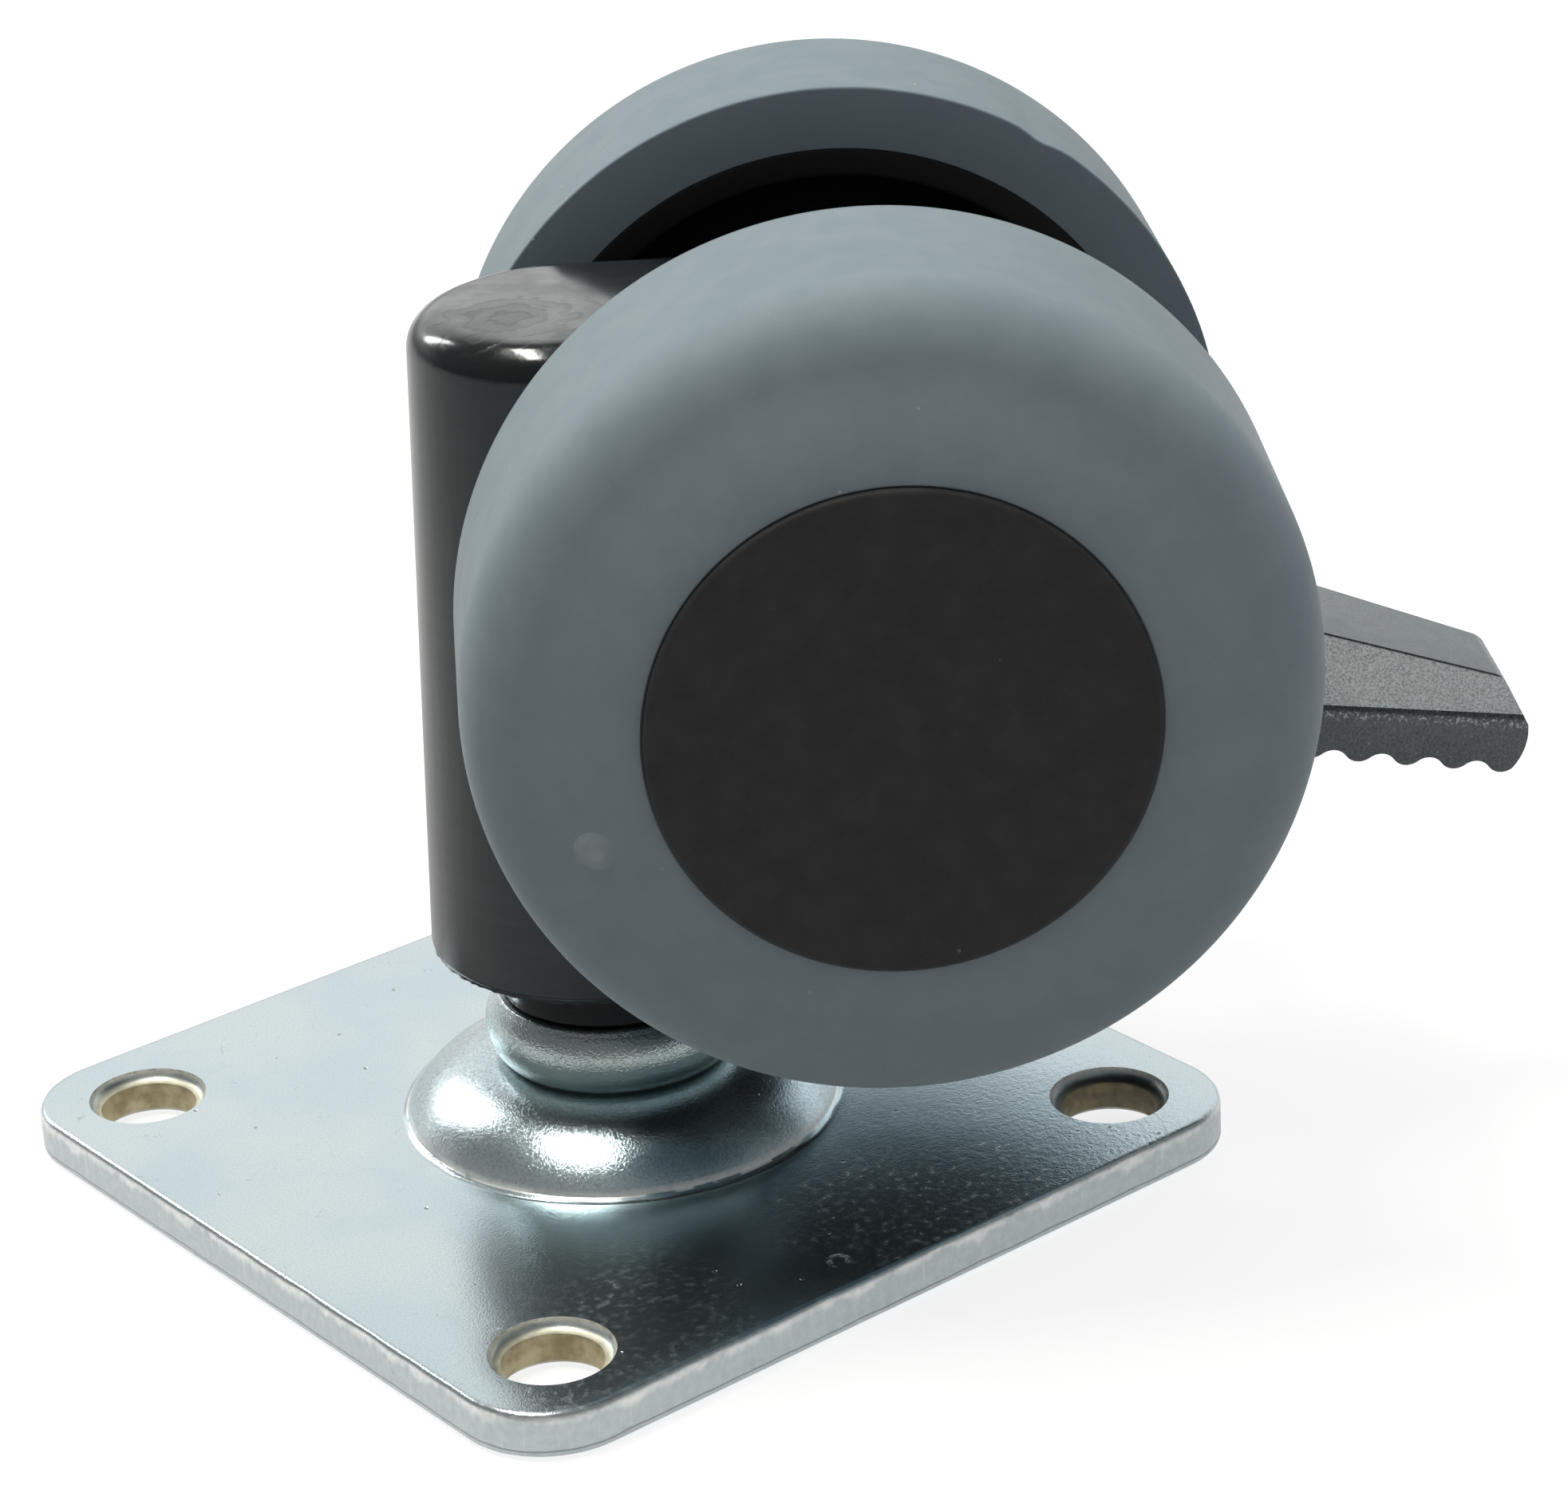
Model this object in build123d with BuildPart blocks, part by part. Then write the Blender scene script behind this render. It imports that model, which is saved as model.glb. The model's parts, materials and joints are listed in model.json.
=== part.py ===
"""Twin-wheel swivel castor with a top plate and a pedal brake, in millimetres.

The castor stands on its plate, wheels up. The origin is the middle of the plate's mounting face,
X and Y run along the plate's edges and Z is the swivel axis. The head (housing, wheels and pedal)
is turned about Z by swivel_angle. In the head, "trail" points from the swivel axis to the axle and
"near" is the wheel on the side that axle_direction points to.
"""

import os
from math import cos, radians, sin, tan

from build123d import *

# Mounting plate, pressed from sheet
plate_side = 60.0
plate_thickness = 3.0
plate_corner_radius = 6.2
bolt_spacing = 46.0
bolt_hole_diameter = 6.4
hole_roll = 0.75
hole_break = 0.4
dome_diameter = 29.2
dome_step = 0.3
dome_rise = 4.0
dome_bulge = 0.7
dome_wall = 2.2
dome_flat_diameter = 17.0

# Swivel stem, turned, riveted into the dome
rivet_diameter = 7.0
rivet_head_diameter = 11.0
rivet_head_height = 1.5
collar_height = 4.75
collar_foot_diameter = 15.0
collar_belly_diameter = 17.2
collar_top_diameter = 15.6
stem_diameter = 8.0
stem_end_room = 2.5
stem_chamfer = 0.8
ring_thickness = 0.8
stem_groove_depth = 0.8
stem_ring_width = 1.3
stem_ring_from_end = 4.0
ring_mouth = 2.4

# Swivel bush, pressed into the housing
neck_diameter = 14.8
neck_height = 3.9
bush_diameter = 12.4
bush_end_room = 0.6

# Housing, one moulding
swivel_angle = -35.4
post_diameter = 23.4
post_height = 42.9
post_draft = 2.6
post_top_round = 2.4
post_foot_round = 0.4
crown_thickness = 4.4
web_width = 21.4
web_inset = 0.1
web_foot_rise = 9.0
web_flat_length = 8.0
trail = 17.5
axle_rise = 26.1
boss_diameter = 14.0

# Axle and wheels
axle_diameter = 6.0
axle_end_chamfer = 0.5
axle_engagement = 12.0
axle_groove_depth = 0.6
axle_ring_width = 1.1
axle_ring_from_end = 3.0
wheel_gap = 26.7
wheel_width = 19.7
wheel_diameter = 51.1
tread_draft = 1.3
tread_land = 14.2
tread_thickness = 4.1
shoulder_fullness = 0.66
hub_disc_diameter = 29.8
hub_disc_proud = 0.45
hub_disc_round = 0.35
tread_lip = 1.7
core_wall = 1.8
core_shoulder = 5.0
hub_diameter = 13.6

# Brake lever: reaches and drops are measured from the axle, along the trail and down
pivot_reach = 12.5
pivot_drop = 1.8
pin_diameter = 3.0
pin_end_recess = 0.6
cheek_radius = 4.3
lever_hub_diameter = 8.0
lever_hub_width = 9.6
lever_lock_angle = 12.0
pedal_root_reach = 17.5
pedal_tip_reach = 41.05
pedal_tip_drop = 11.75
pedal_tip_depth = 5.7
pedal_tip_round = 1.4
pedal_nose_lead = 1.35
pedal_nose_height = 2.95
pedal_nose_bulge = 0.35
pedal_top_angle = 20.55
pedal_sole_angle = 15.0
pedal_root_width = 22.4
pedal_tip_width = 10.0
pedal_crown_root_width = 11.7
pedal_crown_tip_width = 6.65
pedal_bevel_angle = 43.0
pedal_crown_step = 0.15
arm_overlap = 2.0
grip_pitch = 3.35
grip_depth = 0.65
grip_count = 5
grip_from_nose = 1.1
shoe_start_angle = 8.0
shoe_end_angle = 50.0
shoe_depth = 3.6
shoe_reach = 4.2
shoe_bar_reach = 11.9
shoe_bar_rise = 6.1
shoe_bar_diameter = 3.0

# Leaf spring behind the lever's hub
leaf_thickness = 0.4
leaf_length = 9.0
leaf_width = 8.0
leaf_relief_depth = 0.9
leaf_relief_length = 6.0

# Clearances
running_clearance = 0.05
press_clearance = 0.02
ring_clearance = 0.1
swivel_end_play = 0.1
wheel_side_play = 0.35
axle_end_play = 0.4
bond_seam = 0.025
lever_side_play = 0.2
cheek_clearance = 0.5
shoe_clearance = 0.3
shoe_side_play = 0.4
leaf_clearance = 0.1

# Levels up the swivel axis
dome_top = plate_thickness + dome_rise
dome_ceiling = dome_top - dome_wall
collar_top = dome_top + collar_height
neck_foot = collar_top + swivel_end_play
post_foot = neck_foot + neck_height
post_top = post_foot + post_height
bore_top = post_top - crown_thickness
stem_top = bore_top - stem_end_room
stem_ring_foot = stem_top - stem_ring_from_end - ring_thickness
axle_level = post_foot + axle_rise
pivot_level = axle_level - pivot_drop
pivot_trail = trail + pivot_reach

# Stations along the axle, from the middle outwards
wheel_inner = wheel_gap / 2
wheel_outer = wheel_inner + wheel_width
axle_end = wheel_inner + axle_engagement
axle_ring_start = axle_end - axle_ring_from_end - ring_thickness
tread_edge = wheel_outer - hub_disc_proud
lip_edge = tread_edge - tread_lip
rim_end = lip_edge - core_shoulder
land_end = wheel_inner + tread_land

# Radii of the wheels
disc_radius = hub_disc_diameter / 2
tread_radius = wheel_diameter / 2
land_radius = tread_radius - tread_land * tan(radians(tread_draft))
rim_radius = tread_radius - tread_thickness
cup_radius = rim_radius - core_wall

# Directions and planes of the turned head
trail_direction = Vector(cos(radians(swivel_angle)), sin(radians(swivel_angle)), 0)
axle_direction = Vector(sin(radians(swivel_angle)), -cos(radians(swivel_angle)), 0)
up = Vector(0, 0, 1)
axle_centre = trail_direction * trail + up * axle_level
pivot_centre = trail_direction * pivot_trail + up * pivot_level
axle_axis = Axis(axle_centre, axle_direction)
pivot_axis = Axis(pivot_centre, axle_direction)


def head_side(centre):
    """Middle plane of the head at centre: x along the trail, y up, normal towards the near wheel."""
    return Plane(origin=centre, x_dir=trail_direction, z_dir=axle_direction)


def head_plan(level):
    """Level plane of the head: x along the trail."""
    return Plane(origin=up * level, x_dir=trail_direction, z_dir=up)


def along_axle(centre, outward):
    """Plane through the axle: x outwards along it, y up."""
    return Plane(origin=centre, x_dir=outward, z_dir=outward.cross(up))


def snap_ring(plane, shaft_diameter, groove_depth, ring_width):
    """Open spring ring that sits in a shaft's groove, on the plane of its lower face."""
    inner = shaft_diameter / 2 - groove_depth + ring_clearance
    with BuildPart() as ring:
        with BuildSketch(plane):
            Circle(inner + ring_width)
            Circle(inner, mode=Mode.SUBTRACT)
            with Locations((inner + ring_width / 2, 0)):
                Rectangle(2 * ring_width, ring_mouth, mode=Mode.SUBTRACT)
        extrude(amount=ring_thickness)
    return ring.part


def ring_recess(shaft_diameter, groove_depth, ring_width):
    """Radius of the recess that clears a snap ring."""
    return shaft_diameter / 2 - groove_depth + ring_width + 2 * ring_clearance


def keep(part, name):
    """Label a finished piece and write it to its own file."""
    part.label = name
    export_step(part, f"parts/{name}.step")


os.makedirs("parts", exist_ok=True)

# Top plate: sheet with a pressed dome, four punched holes with a rolled upper edge
with BuildPart() as top_plate:
    with BuildSketch():
        RectangleRounded(plate_side, plate_side, plate_corner_radius)
    extrude(amount=plate_thickness)
    with BuildSketch(Plane.XZ):
        with BuildLine():
            foot = Line((0, 0), (dome_diameter / 2, 0))
            rise = Line(foot @ 1, (dome_diameter / 2, plate_thickness + dome_step))
            flank = SagittaArc(rise @ 1, (dome_flat_diameter / 2, dome_top), -dome_bulge)
            Polyline(flank @ 1, (0, dome_top), (0, 0))
        make_face()
    revolve()
    with BuildSketch(Plane.XZ):
        with BuildLine():
            mouth = Line((0, 0), (dome_diameter / 2 - dome_wall, 0))
            flank = SagittaArc(mouth @ 1, (dome_flat_diameter / 2 - dome_wall / 2, dome_ceiling), -dome_bulge)
            Polyline(flank @ 1, (0, dome_ceiling), (0, 0))
        make_face()
    revolve(mode=Mode.SUBTRACT)
    with BuildSketch(Plane.XY.offset(dome_ceiling)):
        Circle(rivet_diameter / 2 + press_clearance)
    extrude(amount=dome_wall, mode=Mode.SUBTRACT)
    with Locations((0, 0, plate_thickness)):
        with GridLocations(bolt_spacing, bolt_spacing, 2, 2):
            Hole(bolt_hole_diameter / 2, depth=plate_thickness)
    hole_rims = top_plate.edges().filter_by(
        lambda e: e.geom_type == GeomType.CIRCLE and abs(e.radius - bolt_hole_diameter / 2) < 1e-6
    )
    fillet(hole_rims.group_by(Axis.Z)[-1], hole_roll)
    chamfer(hole_rims.group_by(Axis.Z)[0], hole_break)
keep(top_plate.part, "top_plate")

# Swivel stem: rivet, barrel collar and pin in one turning
with BuildPart() as swivel_stem:
    with BuildSketch(Plane.XZ):
        with BuildLine():
            head = TangentArc(
                (0, dome_ceiling - rivet_head_height),
                (rivet_head_diameter / 2, dome_ceiling),
                tangent=(1, 0),
            )
            Polyline(
                head @ 1,
                (rivet_diameter / 2, dome_ceiling),
                (rivet_diameter / 2, dome_top),
                (collar_foot_diameter / 2, dome_top),
            )
            belly = ThreePointArc(
                (collar_foot_diameter / 2, dome_top),
                (collar_belly_diameter / 2, dome_top + collar_height / 2),
                (collar_top_diameter / 2, collar_top),
            )
            Polyline(
                belly @ 1,
                (stem_diameter / 2, collar_top),
                (stem_diameter / 2, stem_top - stem_chamfer),
                (stem_diameter / 2 - stem_chamfer, stem_top),
                (0, stem_top),
                (0, dome_ceiling - rivet_head_height),
            )
        make_face()
    revolve()
    with BuildSketch(Plane.XY.offset(stem_ring_foot - ring_clearance)):
        Circle(stem_diameter / 2)
        Circle(stem_diameter / 2 - stem_groove_depth, mode=Mode.SUBTRACT)
    extrude(amount=ring_thickness + 2 * ring_clearance, mode=Mode.SUBTRACT)
keep(swivel_stem.part, "swivel_stem")

# Snap ring on the stem
stem_ring_plane = Plane.XY.offset(stem_ring_foot)
keep(snap_ring(stem_ring_plane, stem_diameter, stem_groove_depth, stem_ring_width), "stem_ring")

# Swivel bush: sleeve in the post with a wider neck under it
with BuildPart() as swivel_bush:
    with BuildSketch(Plane.XY.offset(neck_foot)):
        Circle(neck_diameter / 2)
    extrude(amount=neck_height)
    with BuildSketch(Plane.XY.offset(post_foot)):
        Circle(bush_diameter / 2)
    extrude(amount=bore_top - post_foot - bush_end_room)
    with BuildSketch(Plane.XY.offset(neck_foot)):
        Circle(stem_diameter / 2 + running_clearance)
    extrude(amount=bore_top - neck_foot, mode=Mode.SUBTRACT)
    with BuildSketch(Plane.XY.offset(stem_ring_foot - 2 * ring_clearance)):
        Circle(ring_recess(stem_diameter, stem_groove_depth, stem_ring_width))
    extrude(amount=ring_thickness + 4 * ring_clearance, mode=Mode.SUBTRACT)
keep(swivel_bush.part, "swivel_bush")

# Housing: tapered swivel post, web to the axle boss, and two cheeks that hold the lever's pin
slot_floor = -lever_hub_diameter / 2 - leaf_clearance
slot_width = lever_hub_width + 2 * lever_side_play
web_height = post_height - web_foot_rise
with BuildPart() as post:
    with BuildSketch(Plane.XY.offset(post_foot)):
        Circle(post_diameter / 2)
    extrude(amount=post_height, taper=post_draft)
    fillet(post.faces().sort_by(Axis.Z)[-1].outer_wire().edges(), post_top_round)
    fillet(post.faces().sort_by(Axis.Z)[0].outer_wire().edges(), post_foot_round)
with BuildPart() as housing:
    with BuildSketch(head_plan(post_foot)):
        Circle(post_diameter / 2 - web_inset)
        with Locations((pivot_trail, 0)):
            Rectangle(2 * cheek_radius, web_width)
        make_hull()
    extrude(amount=post_height, taper=post_draft)
    fillet(housing.faces().sort_by(Axis.Z)[-1].outer_wire().edges(), post_top_round)
    with BuildSketch(head_side(up * post_foot)):
        with Locations((-post_diameter, web_foot_rise)):
            Rectangle(post_diameter + web_flat_length, web_height, align=Align.MIN)
        with Locations((pivot_trail, pivot_level - post_foot)):
            Circle(cheek_radius)
        make_hull()
    extrude(amount=web_width, both=True, mode=Mode.INTERSECT)
    add(post)
    with BuildSketch(head_side(axle_centre)):
        Circle(boss_diameter / 2)
    extrude(amount=wheel_inner - wheel_side_play, both=True)
    with BuildSketch(Plane.XY.offset(post_foot)):
        Circle(bush_diameter / 2 + press_clearance)
    extrude(amount=bore_top - post_foot, mode=Mode.SUBTRACT)
    with BuildSketch(head_side(axle_centre)):
        Circle(axle_diameter / 2 + press_clearance)
    extrude(amount=wheel_gap, both=True, mode=Mode.SUBTRACT)
    with BuildSketch(head_side(pivot_centre)):
        with Locations((slot_floor, 0)):
            Rectangle(pivot_trail, post_height, align=(Align.MIN, Align.CENTER))
    extrude(amount=slot_width / 2, both=True, mode=Mode.SUBTRACT)
    with BuildSketch(head_side(pivot_centre)):
        with Locations((slot_floor, 0)):
            Rectangle(
                leaf_thickness, leaf_length + 2 * press_clearance, align=(Align.MAX, Align.CENTER)
            )
    extrude(amount=leaf_width / 2 + press_clearance, both=True, mode=Mode.SUBTRACT)
    with BuildSketch(head_side(pivot_centre)):
        with Locations((slot_floor - leaf_thickness, 0)):
            Rectangle(leaf_relief_depth, leaf_relief_length, align=(Align.MAX, Align.CENTER))
    extrude(amount=leaf_width / 2 + press_clearance, both=True, mode=Mode.SUBTRACT)
    with BuildSketch(head_side(pivot_centre)):
        Circle(pin_diameter / 2 + press_clearance)
    extrude(amount=web_width, both=True, mode=Mode.SUBTRACT)
keep(housing.part, "housing")

# Axle: rod through the boss, grooved near both ends
with BuildPart() as axle:
    with BuildSketch(head_side(axle_centre)):
        Circle(axle_diameter / 2)
    extrude(amount=axle_end, both=True)
    chamfer(axle.edges().filter_by(GeomType.CIRCLE), axle_end_chamfer)
    for side in (axle_direction, -axle_direction):
        groove_start = axle_centre + side * (axle_ring_start - ring_clearance)
        with BuildSketch(Plane(origin=groove_start, x_dir=up, z_dir=side)):
            Circle(axle_diameter / 2)
            Circle(axle_diameter / 2 - axle_groove_depth, mode=Mode.SUBTRACT)
        extrude(amount=ring_thickness + 2 * ring_clearance, mode=Mode.SUBTRACT)
keep(axle.part, "axle")

# Wheels: core with a closed hub disc outside and an open cup inside, tread moulded over it
hub_radius = hub_diameter / 2
bore_radius = axle_diameter / 2 + running_clearance
bore_end = axle_end + axle_end_play
recess_radius = ring_recess(axle_diameter, axle_groove_depth, axle_ring_width)
recess_start = axle_ring_start - 2 * ring_clearance
recess_end = axle_ring_start + ring_thickness + 2 * ring_clearance
lip_radius = disc_radius + bond_seam
crown_point = (
    land_end + shoulder_fullness * (tread_edge - land_end),
    lip_radius + shoulder_fullness * (land_radius - lip_radius),
)
for name, outward in {"near": axle_direction, "far": -axle_direction}.items():
    ring_plane = Plane(origin=axle_centre + outward * axle_ring_start, x_dir=up, z_dir=outward)
    ring = snap_ring(ring_plane, axle_diameter, axle_groove_depth, axle_ring_width)
    keep(ring, f"axle_ring_{name}")

    with BuildPart() as core:
        with BuildSketch(along_axle(axle_centre, outward)):
            with BuildLine():
                Polyline(
                    (bore_end, 0),
                    (wheel_outer, 0),
                    (wheel_outer, disc_radius - hub_disc_round),
                    (wheel_outer - hub_disc_round, disc_radius),
                    (lip_edge, disc_radius),
                    (rim_end, rim_radius),
                    (wheel_inner, rim_radius),
                    (wheel_inner, cup_radius),
                    (rim_end - core_wall, cup_radius),
                    (lip_edge - core_wall, disc_radius - core_wall),
                    (lip_edge - core_wall, hub_radius),
                    (wheel_inner, hub_radius),
                    (wheel_inner, bore_radius),
                    (recess_start, bore_radius),
                    (recess_start, recess_radius),
                    (recess_end, recess_radius),
                    (recess_end, bore_radius),
                    (bore_end, bore_radius),
                    (bore_end, 0),
                )
            make_face()
        revolve(axis=axle_axis)
    keep(core.part, f"wheel_core_{name}")

    with BuildPart() as tread:
        with BuildSketch(along_axle(axle_centre, outward)):
            with BuildLine():
                Polyline(
                    (rim_end + bond_seam, rim_radius + bond_seam),
                    (wheel_inner, rim_radius + bond_seam),
                    (wheel_inner, tread_radius),
                    (land_end, land_radius),
                )
                Spline(
                    (land_end, land_radius),
                    crown_point,
                    (tread_edge, lip_radius),
                    tangents=((1, 0), (0, -1)),
                )
                Polyline(
                    (tread_edge, lip_radius),
                    (lip_edge + bond_seam, lip_radius),
                    (rim_end + bond_seam, rim_radius + bond_seam),
                )
            make_face()
        revolve(axis=axle_axis)
    keep(tread.part, f"tread_{name}")

# Lever pin, pressed into the drafted cheeks
cheek_face = web_width / 2 - (pivot_level - post_foot) * tan(radians(post_draft))
with BuildPart() as lever_pin:
    with BuildSketch(head_side(pivot_centre)):
        Circle(pin_diameter / 2)
    extrude(amount=cheek_face - pin_end_recess, both=True)
keep(lever_pin.part, "lever_pin")

# Leaf spring in its seat at the slot's floor
with BuildPart() as lever_spring:
    with BuildSketch(head_side(pivot_centre)):
        with Locations((slot_floor, 0)):
            Rectangle(leaf_thickness, leaf_length, align=(Align.MAX, Align.CENTER))
    extrude(amount=leaf_width / 2, both=True)
keep(lever_spring.part, "lever_spring")

# Brake lever: wedge-shaped pedal with bevelled flanks and a waved sole, hub, arm and brake shoes
nose_reach = pedal_tip_reach + pedal_nose_lead
grip_start = nose_reach - grip_from_nose
grip_step = grip_pitch / 2 * cos(radians(pedal_sole_angle))
locked_axle = pivot_centre + (axle_centre - pivot_centre).rotate(pivot_axis, -lever_lock_angle)
locked_trail = trail_direction.rotate(pivot_axis, -lever_lock_angle)
locked_side = Plane(origin=locked_axle, x_dir=locked_trail, z_dir=axle_direction)
drum_radius = hub_radius + shoe_clearance
shoe_bar = (shoe_bar_reach, shoe_bar_rise)


def pedal_top(reach):
    """Point on the pedal's top line, from the axle."""
    return Vector(reach, (pedal_tip_reach - reach) * tan(radians(pedal_top_angle)) - pedal_tip_drop)


def pedal_sole(reach):
    """Point on the middle line of the pedal's waved sole, from the axle."""
    rise = (pedal_tip_reach - reach) * tan(radians(pedal_sole_angle))
    return Vector(reach, rise - pedal_tip_drop - pedal_tip_depth)


def crown_edge_point(reach, flank, width):
    """Point in space on one edge of the pedal's crown."""
    place = pedal_top(reach)
    return axle_centre + trail_direction * place.X + up * place.Y + flank * (width / 2)


def bevel_plane(flank):
    """Plane of the pedal's bevel on one flank, a small step under the edge of the crown."""
    root = crown_edge_point(pedal_root_reach, flank, pedal_crown_root_width) - up * pedal_crown_step
    tip = crown_edge_point(nose_reach, flank, pedal_crown_tip_width) - up * pedal_crown_step
    downhill = flank * cos(radians(pedal_bevel_angle)) - up * sin(radians(pedal_bevel_angle))
    normal = (tip - root).cross(downhill)
    return Plane(origin=root, x_dir=tip - root, z_dir=normal if normal.Z > 0 else -normal)


root_top = pedal_top(pedal_root_reach)
root_sole = pedal_sole(pedal_root_reach)
tip_top = pedal_top(pedal_tip_reach)
nose = tip_top + Vector(pedal_nose_lead, -pedal_nose_height)
waves = [pedal_sole(grip_start - i * grip_step) for i in range(2 * grip_count)]


def pedal_block(root_width, tip_width):
    """Pedal outline with its waved sole, tapered in plan from root_width to tip_width."""
    with BuildPart() as block:
        with BuildSketch(head_side(axle_centre)) as outline:
            with BuildLine():
                Polyline(root_sole, root_top, tip_top, nose)
                SagittaArc(nose, waves[0], pedal_nose_bulge)
                for i in range(2 * grip_count - 1):
                    SagittaArc(waves[i], waves[i + 1], grip_depth / 2 * (-1) ** i)
                Line(waves[-1], root_sole)
            make_face()
            fillet(outline.vertices().sort_by_distance(tip_top)[0], pedal_tip_round)
        extrude(amount=root_width / 2, both=True)
        with BuildSketch(head_plan(axle_level)):
            with BuildLine():
                Polyline(
                    (trail + pedal_root_reach, -root_width / 2),
                    (trail + nose_reach, -tip_width / 2),
                    (trail + nose_reach, tip_width / 2),
                    (trail + pedal_root_reach, root_width / 2),
                    close=True,
                )
            make_face()
        extrude(amount=wheel_diameter, both=True, mode=Mode.INTERSECT)
    return block.part


crown = pedal_block(pedal_crown_root_width, pedal_crown_tip_width)
flanks = pedal_block(pedal_root_width, pedal_tip_width)
with BuildPart() as brake_lever:
    add(flanks)
    split(bisect_by=bevel_plane(axle_direction), keep=Keep.BOTTOM)
    split(bisect_by=bevel_plane(-axle_direction), keep=Keep.BOTTOM)
    add(crown)
    with BuildSketch(head_side(pivot_centre)):
        Circle(cheek_radius + cheek_clearance)
    extrude(amount=pedal_root_width, both=True, mode=Mode.SUBTRACT)
    with BuildSketch(head_side(axle_centre)):
        with Locations((pivot_reach, -pivot_drop)):
            Circle(lever_hub_diameter / 2)
        with BuildLine():
            Polyline(
                root_sole,
                root_top,
                pedal_top(pedal_root_reach + arm_overlap),
                pedal_sole(pedal_root_reach + arm_overlap),
            )
        make_hull()
    extrude(amount=lever_hub_width / 2, both=True)
    with BuildSketch(locked_side):
        with Locations((pivot_reach, -pivot_drop)):
            Circle(lever_hub_diameter / 2)
        with Locations(shoe_bar):
            Circle(shoe_bar_diameter / 2)
        make_hull()
    extrude(amount=lever_hub_width / 2, both=True)
    with BuildSketch(locked_side):
        with Locations(shoe_bar):
            Circle(shoe_bar_diameter / 2)
    extrude(amount=wheel_inner + shoe_reach, both=True)
    for shoe_foot in (wheel_inner + shoe_side_play, -wheel_inner - shoe_reach):
        with BuildSketch(locked_side.offset(shoe_foot)):
            with Locations(shoe_bar):
                Circle(shoe_bar_diameter / 2)
            for pad_angle in (shoe_start_angle, shoe_end_angle):
                with PolarLocations(drum_radius + shoe_depth / 2, 1, pad_angle):
                    Circle(shoe_depth / 2)
            make_hull()
            Circle(drum_radius, mode=Mode.SUBTRACT)
        extrude(amount=shoe_reach - shoe_side_play)
    with BuildSketch(head_side(pivot_centre)):
        Circle(pin_diameter / 2 + running_clearance)
    extrude(amount=wheel_gap, both=True, mode=Mode.SUBTRACT)
keep(brake_lever.part, "brake_lever")
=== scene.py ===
# %% [markdown]
# # A twin-wheel swivel castor, standing on its plate
# The castor lies upside down: the zinc-plated plate is on the floor, the black swivel post rises
# from it, and two grey wheels with a brake lever sit at the top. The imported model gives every
# solid in its place. This script dresses those solids: it spins and cuts finer meshes where edges
# and curves show, and paints each piece with a finish made of shader nodes.

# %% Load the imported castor
import json
import math

import bmesh
import bpy
from mathutils import Matrix, Vector, noise


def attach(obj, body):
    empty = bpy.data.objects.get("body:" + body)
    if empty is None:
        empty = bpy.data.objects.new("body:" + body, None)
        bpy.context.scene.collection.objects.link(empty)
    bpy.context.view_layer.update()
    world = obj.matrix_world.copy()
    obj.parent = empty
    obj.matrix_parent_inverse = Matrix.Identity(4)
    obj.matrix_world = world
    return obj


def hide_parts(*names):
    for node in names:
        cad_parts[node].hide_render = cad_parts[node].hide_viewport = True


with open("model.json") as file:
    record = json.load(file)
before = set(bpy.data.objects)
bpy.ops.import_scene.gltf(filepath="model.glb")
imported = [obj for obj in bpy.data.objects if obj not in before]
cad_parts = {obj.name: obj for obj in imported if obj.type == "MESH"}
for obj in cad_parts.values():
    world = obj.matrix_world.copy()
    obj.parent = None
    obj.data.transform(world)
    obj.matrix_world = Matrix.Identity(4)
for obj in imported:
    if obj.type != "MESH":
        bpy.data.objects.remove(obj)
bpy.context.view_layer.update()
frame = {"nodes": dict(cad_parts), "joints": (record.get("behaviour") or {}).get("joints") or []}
MM = 0.001

# %% [markdown]
# ## The head's directions
# The swivel head is turned about Z. Its joints are in the record, so the axle, the brake pivot and
# their direction are read from there instead of being typed again.

# %% Read the axle and the pivot
joints = {joint["name"]: joint for joint in frame["joints"]}
axle_at = Vector(joints["near_wheel_spin"]["pos_m"]) / MM
axle_out = Vector(joints["near_wheel_spin"]["axis"]).normalized()
pivot_at = Vector(joints["brake_pedal"]["pos_m"]) / MM
up = Vector((0, 0, 1))
trail_out = up.cross(axle_out).normalized()
if trail_out.dot(axle_at) < 0:
    trail_out.negate()
for label, spot in (("axle", axle_at), ("pivot", pivot_at)):
    print(label, "at", tuple(round(c, 2) for c in spot))

# %% [markdown]
# ## Profiles and lathes
# Most of a castor is turned or moulded round an axis: the stem, the bush, the wheels. Blender could
# make these with a Screw modifier, but a small lathe in mesh code keeps full control of how many
# steps a corner gets. A profile is a list of (along the axis, radius) pairs in millimetres. No real
# edge is perfectly sharp, so corners are rounded before the profile is spun.

# %% Profile helpers
def arc(start, end, bulge, steps=12):
    """Points of a circular arc from start to end that bulges to the left of its direction."""
    a, b = Vector(start), Vector(end)
    chord = b - a
    side = Vector((-chord.y, chord.x)).normalized() * math.copysign(1, bulge)
    height = abs(bulge)
    radius = (chord.length_squared / 4 + height ** 2) / (2 * height)
    half_angle = math.asin(min(1, chord.length / (2 * radius)))
    centre = (a + b) / 2 + side * (height - radius)
    along = chord.normalized()
    angles = [half_angle * (2 * i / steps - 1) for i in range(steps + 1)]
    return [tuple(centre + radius * (side * math.cos(t) + along * math.sin(t))) for t in angles]


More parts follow.
